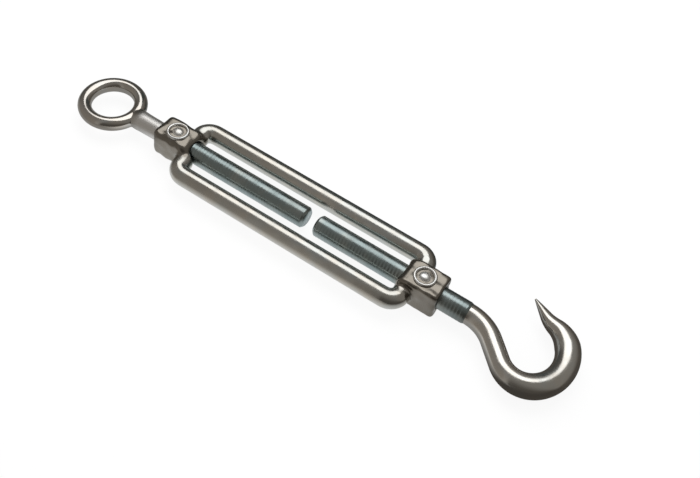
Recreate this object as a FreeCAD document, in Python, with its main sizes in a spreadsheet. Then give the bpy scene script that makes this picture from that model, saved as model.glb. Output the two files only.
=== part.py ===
import FreeCAD, Part
import math
import os
import re

import Sketcher

# Hook-and-eye rigging turnbuckle, M8, open cast body.
#
# Lengths are in millimetres.  The origin is the centre of the eye, on the thread axis.  +X runs along the
# thread axis towards the hook, +Y lies across it in the plane of the two rails, and +Z is up.
#
# Every driving dimension is a cell of the sheet "sizes".  Each row below is (alias, value, meaning).

DIMENSIONS = [
    # cast body
    ("body_length", 120.0, "end face to end face of the two bosses"),
    ("boss_length", 16.0, "length of one boss along the thread"),
    ("boss_width", 12.2, "boss across the thread, in the plane of the rails"),
    ("boss_height", 12.2, "boss across the thread, out of the plane of the rails"),
    ("nose_radius", 4.0, "rounding of a boss, above and below, where it faces the window"),
    ("eye_corner_radius", 2.4, "rounding of the long edges of the boss at the eye end"),
    ("eye_face_radius", 2.2, "rounding of the edges of that boss at its end face"),
    ("hook_corner_radius", 1.4, "rounding of the long edges of the boss at the hook end"),
    ("hook_face_radius", 1.2, "rounding of the edges of that boss at its end face"),
    ("rail_radius", 3.6, "radius of the round side rails"),
    ("rail_clearance", 3.85, "free space between a rod and a rail"),
    ("rail_bend_radius", 4.2, "bend of a rail's centre line where it turns into a boss"),
    ("hook_far_inset", 4.6, "hook end, +Y side: from the window end to the rail's centre line in the boss"),
    ("hook_near_inset", 3.8, "the same on the -Y side"),
    ("eye_far_inset", 3.6, "eye end, +Y side: from the window end to the rail's centre line in the boss"),
    ("eye_near_inset", 0.4, "the same on the -Y side"),
    ("mark_ring_radius", 4.1, "outer radius of the plain raised ring on a boss"),
    ("mark_ring_width", 0.8, "width of that ring"),
    ("mark_ring_height", 0.35, "height of that ring above the boss"),
    ("mark_root", 0.8, "depth to which the ring is rooted in the boss"),
    ("mark_button_radius", 1.9, "radius of the plain raised button inside the ring"),
    ("mark_button_height", 0.6, "height of that button above the boss"),
    # threads
    ("thread_radius", 4.0, "major radius of both threaded rods"),
    ("thread_clearance", 0.05, "radial running clearance in the boss bores"),
    ("bore_chamfer", 0.6, "chamfer at each mouth of a bore"),
    ("rod_end_chamfer", 0.8, "chamfer at the free end of a rod"),
    ("runout_length", 1.2, "cone between the thread and the plain shank"),
    ("rod_gap", 4.4, "gap between the two rod ends"),
    # eye bolt
    ("eye_projection", 23.1, "centre of the eye to the near end face of the body"),
    ("eye_rod_length", 88.0, "centre of the eye to the end of its rod"),
    ("eye_thread_length", 61.0, "threaded length of the eye bolt"),
    ("eye_shank_radius", 3.6, "plain shank between the thread and the ring"),
    ("ring_radius", 10.2, "centre line of the ring"),
    ("ring_bar_radius", 2.6, "radius of the ring's round bar"),
    ("ring_neck_length", 5.0, "length over which the shank swells out of the ring"),
    ("ring_bore_radius", 7.75, "radius of the flat land inside the ring"),
    # hook bolt
    ("hook_rod_length", 84.8, "centre of the bowl to the end of its rod"),
    ("hook_neck_radius", 3.7, "round bar between the thread and the bowl"),
    ("hook_bend_radius", 15.6, "centre line of the bend that leaves the thread axis"),
    ("hook_bowl_reach", 11.2, "centre line of the bowl, along the thread axis"),
    ("hook_bowl_spread", 13.4, "centre line of the bowl, across the thread axis"),
    ("hook_bowl_start", 129.0, "angle below the axis at which the bowl begins, degrees"),
    ("hook_bowl_finish", 79.0, "angle above the axis at which the bowl ends, degrees"),
    ("hook_bar_radius", 4.3, "round bar at the crown of the bowl"),
    ("hook_taper_start", 40.0, "angle above the axis at which the bar begins to taper, degrees"),
    ("hook_flare_radius", 13.1, "centre line of the outward bend before the point"),
    ("hook_flare_turn", 21.0, "turn of that bend, degrees"),
    ("hook_point_length", 7.5, "straight part of the point"),
    ("hook_point_radius", 0.35, "radius of the blunted point"),
]

# Sketcher's numbers for the points of a line and for a sketch's own origin and axes
START, END, CENTRE = range(1, 4)
VERTICAL_AXIS, HORIZONTAL_AXIS = range(-2, 0)
ORIGIN = HORIZONTAL_AXIS
FULL_TURN = 360
SAME_LENGTH = 1e-4

doc = FreeCAD.newDocument("turnbuckle")
sheet = doc.addObject("Spreadsheet::Sheet", "sizes")
for row, (alias, value, meaning) in enumerate(DIMENSIONS, start=1):
    sheet.set(f"A{row}", alias)
    sheet.set(f"B{row}", str(value))
    sheet.set(f"C{row}", meaning)
    sheet.setAlias(f"B{row}", alias)
doc.recompute()


def size(expression):
    """The value of an expression of the sheet's aliases."""
    return float(sheet.evalExpression(expression))


def sheet_names(expression):
    """The same expression with the sheet's name before each alias."""
    aliases = {row[0] for row in DIMENSIONS}
    return re.sub("[a-z_]+", lambda word: ("sizes." if word[0] in aliases else "") + word[0], expression)


def bind(item, **properties):
    """Bind properties of an object to expressions of the sheet's aliases."""
    for name, expression in properties.items():
        item.setExpression(name.replace("__", "."), sheet_names(expression))


def new_body(label):
    """An empty PartDesign body, named and labelled as its node."""
    body = doc.addObject("PartDesign::Body", label)
    body.Label = label
    return body


def origin_feature(body, role):
    """A plane or an axis of the body's own origin."""
    return next(feature for feature in body.Origin.OriginFeatures if feature.Role == role)


def new_sketch(body, name, role, height="0"):
    """A sketch on one of the body's own origin planes, raised by an expression."""
    sketch = body.newObject("Sketcher::SketchObject", name)
    sketch.AttachmentSupport = (origin_feature(body, role), "")
    sketch.MapMode = "FlatFace"
    if height != "0":
        bind(sketch, AttachmentOffset__Base__z=height)
    return sketch


def dimension(sketch, name, kind, *where, expression):
    """A named sketch dimension, bound to an expression."""
    constraint = Sketcher.Constraint(kind, *where, size(expression))
    sketch.renameConstraint(sketch.addConstraint(constraint), name)
    sketch.setExpression("Constraints." + name, sheet_names(expression))


def locate(sketch, name, index, point, x, y):
    """Hold one point of a sketch at a pair of expressions, measured from the sketch's origin."""
    for letter, expression, axis in (("x", x, VERTICAL_AXIS), ("y", y, HORIZONTAL_AXIS)):
        kind = "Distance" + letter.upper()
        if expression == "0":
            sketch.addConstraint(Sketcher.Constraint("PointOnObject", index, point, axis))
        elif size(expression) > 0:
            dimension(sketch, f"{name}_{letter}", kind, ORIGIN, START, index, point, expression=expression)
        else:
            opposite = f"0 - ({expression})"
            dimension(sketch, f"{name}_{letter}", kind, index, point, ORIGIN, START, expression=opposite)


def add_outline(sketch, corners):
    """A closed outline of straight lines.  Each corner is a pair of expressions, of its x and its y."""
    points = [FreeCAD.Vector(size(x), size(y), 0) for x, y in corners]
    for index, point in enumerate(points):
        sketch.addGeometry(Part.LineSegment(point, points[(index + 1) % len(points)]))
    for index in range(len(points)):
        following = (index + 1) % len(points)
        sketch.addConstraint(Sketcher.Constraint("Coincident", index, END, following, START))
    for index, (x, y) in enumerate(corners):
        locate(sketch, f"corner_{index + 1}", index, START, x, y)


def add_circle(sketch, name, radius, x="0", y="0"):
    """A circle with its radius and its centre bound to expressions."""
    centre = FreeCAD.Vector(size(x), size(y), 0)
    index = sketch.addGeometry(Part.Circle(centre, FreeCAD.Vector(0, 0, 1), size(radius)))
    dimension(sketch, name, "Radius", index, expression=radius)
    locate(sketch, name, index, CENTRE, x, y)


def pad(body, name, sketch, length):
    """Raise a sketch along its normal."""
    feature = body.newObject("PartDesign::Pad", name)
    feature.Profile = sketch
    bind(feature, Length=length)
    return feature


def turn(body, kind, name, sketch, axis):
    """A full Revolution or Groove of a sketch about one of its own axes."""
    feature = body.newObject("PartDesign::" + kind, name)
    feature.Profile = sketch
    feature.ReferenceAxis = (sketch, [axis])
    feature.Angle = FULL_TURN
    return feature


def round_edges(body, name, base, radius, wanted):
    """Fillet those edges of a feature whose middle point passes a test."""
    doc.recompute()
    names = []
    for number, edge in enumerate(base.Shape.Edges, start=1):
        middle = edge.valueAt((edge.FirstParameter + edge.LastParameter) / 2)
        if wanted(middle):
            names.append(f"Edge{number}")
    feature = body.newObject("PartDesign::Fillet", name)
    feature.Base = (base, names)
    bind(feature, Radius=radius)
    return feature


def near(value, target):
    """Whether two lengths are the same to well within the model's tolerance."""
    return abs(value - target) < SAME_LENGTH


# The cast body: a square boss at each end, joined by two round rails that turn into the bosses.  It is built
# about the middle of the body.

frame_body = new_body("frame_body")
bind(frame_body, Placement__Base__x="eye_projection + body_length / 2")

window_end = "(body_length / 2 - boss_length)"
half_length = size("body_length / 2")
half_window = size(window_end)
half_width = size("boss_width / 2")
half_height = size("boss_height / 2")


def add_boss(name, start):
    """A square boss, from a place on the thread axis towards +X."""
    section = new_sketch(frame_body, name + "_section", "YZ_Plane", start)
    add_outline(section, [
        ("boss_width / 2", "boss_height / 2"),
        ("-boss_width / 2", "boss_height / 2"),
        ("-boss_width / 2", "-boss_height / 2"),
        ("boss_width / 2", "-boss_height / 2"),
    ])
    return pad(frame_body, name, section, "boss_length")


def above_or_below(middle):
    """Whether a point lies on the top or the underside of a boss."""
    return near(abs(middle.z), half_height)


def long_edge(middle, side):
    """Whether a point is the middle of one of the four long edges of the boss on a side of the body."""
    between = half_window < side * middle.x < half_length
    return between and near(abs(middle.y), half_width) and above_or_below(middle)


add_boss("eye_boss", "-body_length / 2")
bosses = add_boss("hook_boss", window_end)
bosses = round_edges(frame_body, "noses", bosses, "nose_radius",
                     lambda middle: near(abs(middle.x), half_window) and above_or_below(middle))
for end, side in (("eye", -1), ("hook", 1)):
    bosses = round_edges(frame_body, end + "_long_edges", bosses, end + "_corner_radius",
                         lambda middle: long_edge(middle, side))
    bosses = round_edges(frame_body, end + "_face_edges", bosses, end + "_face_radius",
                         lambda middle: near(middle.x, side * half_length))


def add_mark(name, centre):
    """A plain raised ring with a button inside it, on the top of a boss."""
    ring = new_sketch(frame_body, name + "_ring_outline", "XY_Plane", "boss_height / 2 - mark_root")
    add_circle(ring, "outer_radius", "mark_ring_radius", x=centre)
    add_circle(ring, "inner_radius", "mark_ring_radius - mark_ring_width", x=centre)
    pad(frame_body, name + "_ring", ring, "mark_root + mark_ring_height")
    button = new_sketch(frame_body, name + "_button_outline", "XY_Plane", "boss_height / 2 - mark_root")
    add_circle(button, "button_radius", "mark_button_radius", x=centre)
    pad(frame_body, name + "_button", button, "mark_root + mark_button_height")


add_mark("eye_mark", "-body_length / 2 + boss_length / 2")
add_mark("hook_mark", "body_length / 2 - boss_length / 2")

rail_offset = "(thread_radius + rail_clearance + rail_radius)"
FAR_RAIL, FAR_BEND, WEB, NEAR_BEND, NEAR_RAIL = range(5)
UP = FreeCAD.Vector(0, 0, 1)


def add_rails(name, turned, far_inset, near_inset):
    """Both rails from the middle of the body to one end, joined through the boss as one bent round bar."""
    path = new_sketch(frame_body, name + "_path", "XY_Plane")
    half_turn = FreeCAD.Rotation(FreeCAD.Vector(0, 1, 0), turned)
    path.AttachmentOffset = FreeCAD.Placement(FreeCAD.Vector(0, 0, 0), half_turn)
    offset, bend_radius = size(rail_offset), size("rail_bend_radius")
    web_x, web_y = size(f"{window_end} + {near_inset}"), offset - bend_radius
    bend_x = web_x - bend_radius
    far_bend = Part.Circle(FreeCAD.Vector(bend_x, web_y, 0), UP, bend_radius)
    near_bend = Part.Circle(FreeCAD.Vector(bend_x, -web_y, 0), UP, bend_radius)
    path.addGeometry([
        Part.LineSegment(FreeCAD.Vector(0, offset, 0), FreeCAD.Vector(bend_x, offset, 0)),
        Part.ArcOfCircle(far_bend, 0, math.pi / 2),
        Part.LineSegment(FreeCAD.Vector(web_x, web_y, 0), FreeCAD.Vector(web_x, -web_y, 0)),
        Part.ArcOfCircle(near_bend, -math.pi / 2, 0),
        Part.LineSegment(FreeCAD.Vector(bend_x, -offset, 0), FreeCAD.Vector(0, -offset, 0)),
    ])
    path.addConstraint([
        Sketcher.Constraint("Tangent", FAR_RAIL, END, FAR_BEND, END),
        Sketcher.Constraint("Tangent", FAR_BEND, START, WEB, START),
        Sketcher.Constraint("Tangent", WEB, END, NEAR_BEND, END),
        Sketcher.Constraint("Tangent", NEAR_BEND, START, NEAR_RAIL, START),
        Sketcher.Constraint("Horizontal", FAR_RAIL),
        Sketcher.Constraint("Horizontal", NEAR_RAIL),
        Sketcher.Constraint("PointOnObject", FAR_RAIL, START, VERTICAL_AXIS),
        Sketcher.Constraint("PointOnObject", NEAR_RAIL, END, VERTICAL_AXIS),
        Sketcher.Constraint("Equal", FAR_BEND, NEAR_BEND),
    ])
    dimension(path, "bend", "Radius", FAR_BEND, expression="rail_bend_radius")
    dimension(path, "far_rail", "DistanceY", ORIGIN, START, FAR_RAIL, START, expression=rail_offset)
    dimension(path, "near_rail", "DistanceY", NEAR_RAIL, END, ORIGIN, START, expression=rail_offset)
    for web_end, label, inset in ((START, "far_web", far_inset), (END, "near_web", near_inset)):
        dimension(path, label, "DistanceX", ORIGIN, START, WEB, web_end, expression=f"{window_end} + {inset}")
    section = new_sketch(frame_body, name + "_section", "YZ_Plane")
    add_circle(section, "rail_radius", "rail_radius", x=rail_offset)
    pipe = frame_body.newObject("PartDesign::AdditivePipe", name)
    pipe.Profile = section
    pipe.Spine = (path, [])


add_rails("hook_end_rails", 0, "hook_far_inset", "hook_near_inset")
add_rails("eye_end_rails", 180, "eye_far_inset", "eye_near_inset")

bore_profile = new_sketch(frame_body, "bore_profile", "XY_Plane")
bore_radius = "thread_radius + thread_clearance"
bore_mouth = f"{bore_radius} + bore_chamfer"
half_bore = [
    ("body_length / 2", bore_mouth),
    ("body_length / 2 - bore_chamfer", bore_radius),
    (f"{window_end} + bore_chamfer", bore_radius),
    (window_end, bore_mouth),
]
mirrored_bore = [(f"-({x})", y) for x, y in reversed(half_bore)]
bore_ends = [("body_length / 2", "0")], [("-body_length / 2", "0")]
add_outline(bore_profile, bore_ends[0] + half_bore + mirrored_bore + bore_ends[1])
turn(frame_body, "Groove", "bore", bore_profile, "H_Axis")


# The eye bolt is one forging, made here as two solids that meet face to face: a round ring with the neck that
# swells out of it, and the rod that goes on from the neck as a plain shank and a thread.

eye_ring = new_body("eye_ring")

ring_section = new_sketch(eye_ring, "ring_section", "XZ_Plane")
add_circle(ring_section, "bar_radius", "ring_bar_radius", x="ring_radius")
turn(eye_ring, "Revolution", "ring", ring_section, "V_Axis")

neck_profile = new_sketch(eye_ring, "neck_profile", "XY_Plane")
neck_end = "ring_radius + ring_neck_length"
add_outline(neck_profile, [
    ("ring_radius", "0"),
    ("ring_radius", "ring_bar_radius"),
    (neck_end, "eye_shank_radius"),
    (neck_end, "0"),
])
turn(eye_ring, "Revolution", "neck", neck_profile, "H_Axis")

ring_land = new_sketch(eye_ring, "ring_land_outline", "XY_Plane")
add_circle(ring_land, "land_radius", "ring_bore_radius")
ring_bore = eye_ring.newObject("PartDesign::Pocket", "ring_bore")
ring_bore.Profile = ring_land
ring_bore.Type = "ThroughAll"
ring_bore.Midplane = True

eye_rod = new_body("eye_rod")

eye_rod_profile = new_sketch(eye_rod, "eye_rod_profile", "XY_Plane")
eye_thread_start = "eye_rod_length - eye_thread_length"
add_outline(eye_rod_profile, [
    (neck_end, "0"),
    (neck_end, "eye_shank_radius"),
    (f"{eye_thread_start} - runout_length", "eye_shank_radius"),
    (eye_thread_start, "thread_radius"),
    ("eye_rod_length - rod_end_chamfer", "thread_radius"),
    ("eye_rod_length", "thread_radius - rod_end_chamfer"),
    ("eye_rod_length", "0"),
])
turn(eye_rod, "Revolution", "shank_and_thread", eye_rod_profile, "H_Axis")


# The hook bolt: a threaded rod and a round bar that bends off the thread axis, goes round an oval bowl and
# tapers to an outward point.  It is built about the centre of the bowl.

hook_bolt = new_body("hook_bolt")
bind(hook_bolt, Placement__Base__x="eye_rod_length + rod_gap + hook_rod_length")


class Station:
    """One cross-section of the hook's bar: its centre, its heading from +X and its radius."""

    def __init__(self, x, y, heading, radius):
        self.x, self.y, self.heading, self.radius = x, y, heading, radius

    def ahead(self, length, radius):
        """The station a length further on, in a straight line."""
        x = self.x + length * math.cos(self.heading)
        y = self.y + length * math.sin(self.heading)
        return Station(x, y, self.heading, radius)

    def bent(self, bend_radius, angle, radius):
        """The station further on round an arc: a positive angle turns left, a negative one right."""
        side = math.copysign(bend_radius, angle)
        heading = self.heading + angle
        x = self.x + side * (math.sin(heading) - math.sin(self.heading))
        y = self.y - side * (math.cos(heading) - math.cos(self.heading))
        return Station(x, y, heading, radius)


def bowl_station(angle, radius):
    """A station on the oval bowl, at an angle round it from the thread axis."""
    reach, spread = size("hook_bowl_reach"), size("hook_bowl_spread")
    heading = math.atan2(spread * math.cos(angle), -reach * math.sin(angle))
    return Station(reach * math.cos(angle), spread * math.sin(angle), heading, radius)


def fractions(count):
    """Evenly spaced fractions, from the first step to 1."""
    return [step / count for step in range(1, count + 1)]


neck_radius = size("hook_neck_radius")
bar_radius = size("hook_bar_radius")
bowl_first = -math.radians(size("hook_bowl_start"))
bowl_last = math.radians(size("hook_bowl_finish"))
taper_first = math.radians(size("hook_taper_start"))

# the bend leaves the thread axis at an angle of nought and meets the bowl at the bowl's own heading
bowl_entry = bowl_station(bowl_first, neck_radius)
neck_bend = size("hook_bend_radius")
neck_drop = neck_bend * (1 - math.cos(bowl_entry.heading))
neck_straight = (-bowl_entry.y - neck_drop) / math.sin(-bowl_entry.heading)
neck_start = Station(
    bowl_entry.x - neck_bend * math.sin(-bowl_entry.heading) - neck_straight * math.cos(bowl_entry.heading),
    0, 0, neck_radius)

NECK_STEPS, BOWL_STEPS, TAPER_STEPS, FLARE_STEPS, POINT_STEPS = 4, 12, 3, 2, 3
TAPER_POWER = 1.3
stations = [neck_start]
for fraction in fractions(NECK_STEPS):
    stations.append(neck_start.bent(neck_bend, bowl_entry.heading * fraction, neck_radius))
stations.append(bowl_entry)
for fraction in fractions(BOWL_STEPS):
    angle = bowl_first + (taper_first - bowl_first) * fraction
    swell = math.sin(min(fraction * 2, 1) * math.pi / 2)
    stations.append(bowl_station(angle, neck_radius + (bar_radius - neck_radius) * swell))

tapered = [bowl_station(taper_first + (bowl_last - taper_first) * fraction, bar_radius)
           for fraction in fractions(TAPER_STEPS)]
flare_turn = -math.radians(size("hook_flare_turn"))
crown_end = tapered[-1]
for fraction in fractions(FLARE_STEPS):
    tapered.append(crown_end.bent(size("hook_flare_radius"), flare_turn * fraction, bar_radius))
flare_end = tapered[-1]
for fraction in fractions(POINT_STEPS):
    tapered.append(flare_end.ahead(size("hook_point_length") * fraction, bar_radius))

# the taper runs from the crown to the point, by distance along the bar
travelled = [0]
for before, after in zip([stations[-1]] + tapered, tapered):
    travelled.append(travelled[-1] + math.hypot(after.x - before.x, after.y - before.y))
for station, distance in zip(tapered, travelled[1:]):
    left = 1 - (distance / travelled[-1]) ** TAPER_POWER
    station.radius = size("hook_point_radius") + (bar_radius - size("hook_point_radius")) * left
stations += tapered

hook_profile = new_sketch(hook_bolt, "hook_rod_profile", "XY_Plane")
hook_rod_end = str(neck_start.x)
add_outline(hook_profile, [
    ("-hook_rod_length", "0"),
    ("-hook_rod_length", "thread_radius - rod_end_chamfer"),
    ("-hook_rod_length + rod_end_chamfer", "thread_radius"),
    (f"{hook_rod_end} - runout_length", "thread_radius"),
    (hook_rod_end, "hook_neck_radius"),
    (hook_rod_end, "0"),
])
hook_rod = turn(hook_bolt, "Revolution", "hook_rod", hook_profile, "H_Axis")

sections = []
for number, station in enumerate(stations):
    section = hook_bolt.newObject("Sketcher::SketchObject", f"hook_section_{number:02d}")
    section.AttachmentSupport = (origin_feature(hook_bolt, "XY_Plane"), "")
    section.MapMode = "FlatFace"
    facing = FreeCAD.Rotation(FreeCAD.Vector(0, 0, 1), math.degrees(station.heading))
    upright = FreeCAD.Rotation(FreeCAD.Vector(0, 1, 0), 90)
    place = FreeCAD.Vector(station.x, station.y, 0)
    section.AttachmentOffset = FreeCAD.Placement(place, facing * upright)
    section.addGeometry(Part.Circle(FreeCAD.Vector(0, 0, 0), UP, station.radius))
    section.addConstraint(Sketcher.Constraint("Coincident", 0, CENTRE, ORIGIN, START))
    section.addConstraint(Sketcher.Constraint("Radius", 0, station.radius))
    sections.append(section)
hook_bar = hook_bolt.newObject("PartDesign::AdditiveLoft", "hook_bar")
hook_bar.Profile = sections[0]
hook_bar.Sections = sections[1:]


doc.recompute()
for item in doc.Objects:
    if {"Invalid", "Error"} & set(item.State):
        raise RuntimeError(f"{item.Label} is {item.State}")

os.makedirs("parts", exist_ok=True)
for body in (frame_body, eye_ring, eye_rod, hook_bolt):
    shape = body.Shape
    if shape.isNull() or not shape.isValid() or len(shape.Solids) != 1:
        raise RuntimeError(f"{body.Label} has {len(shape.Solids)} solids, valid: {shape.isValid()}")
    shape.exportStep(f"parts/{body.Label}.step")
    print(body.Label, round(shape.Volume, 1), "cubic mm", shape.optimalBoundingBox())
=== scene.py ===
import math

import bmesh
import bpy
from bpy.props import FloatProperty, FloatVectorProperty, IntProperty, PointerProperty
from mathutils import Matrix, Vector, noise


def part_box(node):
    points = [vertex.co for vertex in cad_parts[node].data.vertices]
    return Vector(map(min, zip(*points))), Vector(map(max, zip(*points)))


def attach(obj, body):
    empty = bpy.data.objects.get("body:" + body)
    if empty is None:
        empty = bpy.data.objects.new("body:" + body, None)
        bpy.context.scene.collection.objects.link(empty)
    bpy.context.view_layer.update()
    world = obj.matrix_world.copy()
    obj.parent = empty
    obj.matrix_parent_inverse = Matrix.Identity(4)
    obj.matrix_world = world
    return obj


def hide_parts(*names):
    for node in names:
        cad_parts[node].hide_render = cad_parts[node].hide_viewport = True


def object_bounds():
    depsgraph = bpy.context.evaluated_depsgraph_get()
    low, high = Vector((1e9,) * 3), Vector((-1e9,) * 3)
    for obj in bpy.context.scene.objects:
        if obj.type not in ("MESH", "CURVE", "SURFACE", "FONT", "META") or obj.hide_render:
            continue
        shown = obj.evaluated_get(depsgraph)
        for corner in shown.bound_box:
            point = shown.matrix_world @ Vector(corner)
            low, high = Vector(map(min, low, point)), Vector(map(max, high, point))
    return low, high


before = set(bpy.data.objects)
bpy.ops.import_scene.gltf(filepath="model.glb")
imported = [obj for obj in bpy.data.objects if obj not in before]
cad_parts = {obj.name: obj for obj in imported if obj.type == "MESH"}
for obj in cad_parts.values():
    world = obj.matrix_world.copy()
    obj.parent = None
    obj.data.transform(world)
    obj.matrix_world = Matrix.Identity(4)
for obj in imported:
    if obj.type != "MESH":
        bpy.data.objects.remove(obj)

bl_info = {
    "name": "Rigging turnbuckle",
    "version": (1, 0, 0),
    "blender": (4, 5, 0),
    "location": "3D View > Sidebar > Turnbuckle",
    "description": "Dresses the hook and eye turnbuckle: casting, forgings, threads and finishes",
    "category": "Object",
}

# Lengths are in metres.  The origin is the centre of the eye, +X runs along the thread axis to the hook,
# +Y lies across it in the plane of the two rails, and +Z is up.

MM = 0.001
CAD_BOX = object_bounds()
BODY_LOW, BODY_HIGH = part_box("frame_body")
EYE_ROD_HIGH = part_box("eye_rod")[1]
HOOK_LOW, HOOK_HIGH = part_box("hook_bolt")
BODY_MIDDLE = (BODY_LOW.x + BODY_HIGH.x) / 2
PART_MIDDLE = (CAD_BOX[0].x + CAD_BOX[1].x) / 2
FLOOR_HEIGHT = CAD_BOX[0].z

X_AXIS = Vector((1, 0, 0))
Y_AXIS = Vector((0, 1, 0))
Z_AXIS = Vector((0, 0, 1))


def length(name, default, description):
    """A length in metres that a user may change."""
    return FloatProperty(name=name, description=description, default=default, min=0, precision=5,
                         subtype="DISTANCE", unit="LENGTH")


def angle(name, default, description):
    """An angle, given in degrees, that a user may change."""
    return FloatProperty(name=name, description=description, default=math.radians(default), subtype="ANGLE",
                         unit="ROTATION")


def share(name, default, description):
    """A number between 0 and 1 that a user may change."""
    return FloatProperty(name=name, description=description, default=default, min=0, max=1, subtype="FACTOR")


def colour(name, default, description):
    """A colour that a user may change."""
    return FloatVectorProperty(name=name, description=description, default=default, min=0, max=1, size=3,
                               subtype="COLOR")


class CastingSizes(bpy.types.PropertyGroup):
    """Sizes of the cast body."""

    boss_length: length("Boss length", 16 * MM, "Length of one boss along the thread")
    boss_height: length("Boss height", 12.2 * MM, "Boss across the thread, out of the plane of the rails")
    bore_radius: length("Bore radius", 4.06 * MM, "Radius of the bore through each boss")
    bore_chamfer: length("Bore chamfer", 0.6 * MM, "Chamfer at each mouth of a bore")
    grain: length("Mesh size", 0.32 * MM, "Width of one face of the casting's skin")
    softening: IntProperty(name="Softening", description="How often the casting's edges are relaxed",
                           default=28, min=0)
    hollow_depth: length("Hollow depth", 0.6 * MM, "Depth of the hollows in the skin of the bosses")
    hollow_size: length("Hollow size", 3.1 * MM, "Breadth of those hollows")
    mark_radius: length("Ring radius", 3.6 * MM, "Middle of the plain raised ring on a boss")
    mark_bead: length("Ring bead", 0.6 * MM, "Radius of that ring's rounded bead")
    mark_rise: length("Ring height", 0.42 * MM, "Height of that ring above the boss")
    button_radius: length("Button radius", 2.1 * MM, "Radius of the plain button inside the ring")
    button_height: length("Button height", 0.59 * MM, "Height of that button above the boss")


class EyeSizes(bpy.types.PropertyGroup):
    """Sizes of the eye forging."""

    ring_radius: length("Ring radius", 10.2 * MM, "Centre line of the ring")
    bar_radius: length("Bar radius", 2.6 * MM, "Radius of the ring's round bar")
    land_radius: length("Land radius", 7.75 * MM, "Radius of the flat land inside the ring")
    neck_length: length("Neck length", 5 * MM, "Length over which the shank swells out of the ring")
    neck_flare: share("Neck flare", 0.55, "How much wider the neck is where it meets the ring")
    shank_radius: length("Shank radius", 3.6 * MM, "Plain shank between the ring and the thread")
    thread_start: length("Thread start", 27 * MM, "From the eye's centre to the start of the thread")
    grain: length("Mesh size", 0.21 * MM, "Width of one face of the ring's skin")
    softening: IntProperty(name="Softening", description="How often the forging's edges are relaxed",
                           default=30, min=0)
    butt_angle: angle("Butt angle", 24, "Where the bent bar's end meets the shank, round the ring")
    butt_gap: length("Butt gap", 0.32 * MM, "Width of the seam where the bar's end meets the shank")
    butt_depth: length("Butt depth", 0.75 * MM, "Depth of that seam")
    butt_lean: angle("Butt lean", -28, "Lean of that seam from the ring's radius")


class HookSizes(bpy.types.PropertyGroup):
    """Sizes of the hook forging."""

    neck_radius: length("Neck radius", 3.7 * MM, "Round bar between the thread and the bowl")
    bend_radius: length("Bend radius", 15.6 * MM, "Centre line of the bend that leaves the thread axis")
    bowl_reach: length("Bowl reach", 11.2 * MM, "Centre line of the bowl, along the thread axis")
    bowl_spread: length("Bowl spread", 13.4 * MM, "Centre line of the bowl, across the thread axis")
    bowl_start: angle("Bowl start", 129, "Angle below the axis at which the bowl begins")
    bowl_finish: angle("Bowl finish", 79, "Angle above the axis at which the bowl ends")
    bar_radius: length("Bar radius", 4.3 * MM, "Round bar at the crown of the bowl")
    taper_start: angle("Taper start", 40, "Angle above the axis at which the bar begins to taper")
    taper_power: FloatProperty(name="Taper power", description="How late the bar thins towards its point",
                               default=1.3, min=1)
    flare_radius: length("Flare radius", 13.1 * MM, "Centre line of the outward bend before the point")
    flare_turn: angle("Flare turn", 21, "Turn of that bend")
    point_length: length("Point length", 7.5 * MM, "Straight part of the point")
    point_radius: length("Point radius", 0.35 * MM, "Radius of the blunted point")


class ThreadSizes(bpy.types.PropertyGroup):
    """Sizes of both threaded rods."""

    crest_radius: length("Crest radius", 3.99 * MM, "Radius over the crests of the thread")
    pitch: length("Pitch", 1.25 * MM, "Distance from crest to crest")
    depth: length("Depth", 0.03 * MM, "Depth of the plated thread's rounded grooves")
    chamfer: length("Chamfer", 0.8 * MM, "Chamfer at the free end of a rod")
    runout: FloatProperty(name="Runout", description="Slope of the thread's runout towards its neck",
                          default=0.3, min=0)
    steps: IntProperty(name="Steps", description="Steps in one turn of the thread", default=40, min=12)


class Finishes(bpy.types.PropertyGroup):
    """Colours and gloss of the zinc plating, with shade painted on the threads, over the bosses and in the
    hollows.
    """

    casting: colour("Casting", (0.5, 0.49, 0.455), "Bright zinc plating over the casting")
    forging: colour("Forging", (0.61, 0.595, 0.56), "Bright zinc plating over the forged bar")
    ring: colour("Ring", (0.53, 0.505, 0.47), "Zinc plating over the eye's bar, a little browner")
    # painted shade: the thread colour is darker than the bar's to stand for the shade of the threads; its
    # blue tint is the plating's own
    thread: colour("Thread", (0.255, 0.305, 0.305), "Zinc plating in the shade of the threads")
    warm: colour("Warm film", (0.62, 0.555, 0.47), "Straw tint where the plating is thick")
    cool: colour("Cool film", (0.53, 0.60, 0.63), "Blue tint where the plating is thin")
    worn: colour("Worn edge", (0.74, 0.73, 0.71), "Rubbed plating on edges, on the marks and along the shank")
    # painted shade: the hollow colour darkens the hollows, where shade falls
    hollow: colour("Hollow", (0.30, 0.28, 0.25), "Dull plating in the hollows")
    # painted shade: the boss skin colour darkens the unpolished skin of the bosses
    skin: colour("Boss skin", (0.24, 0.22, 0.19), "Dull plating on the unpolished skin of the bosses")
    casting_gloss: share("Casting roughness", 0.22, "Roughness of the plated casting")
    skin_gloss: share("Boss roughness", 0.24, "Roughness of the unpolished skin of the bosses")
    ring_gloss: share("Ring roughness", 0.12, "Roughness of the eye's plated ring")
    forging_gloss: share("Hook roughness", 0.2, "Roughness of the plated hook")
    shank_gloss: share("Shank roughness", 0.42, "Roughness of the eye's drawn shank")
    mark_gloss: share("Mark roughness", 0.3, "Roughness of the raised marks on the bosses")
    thread_gloss: share("Thread roughness", 0.28, "Roughness of the plated threads")


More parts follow.
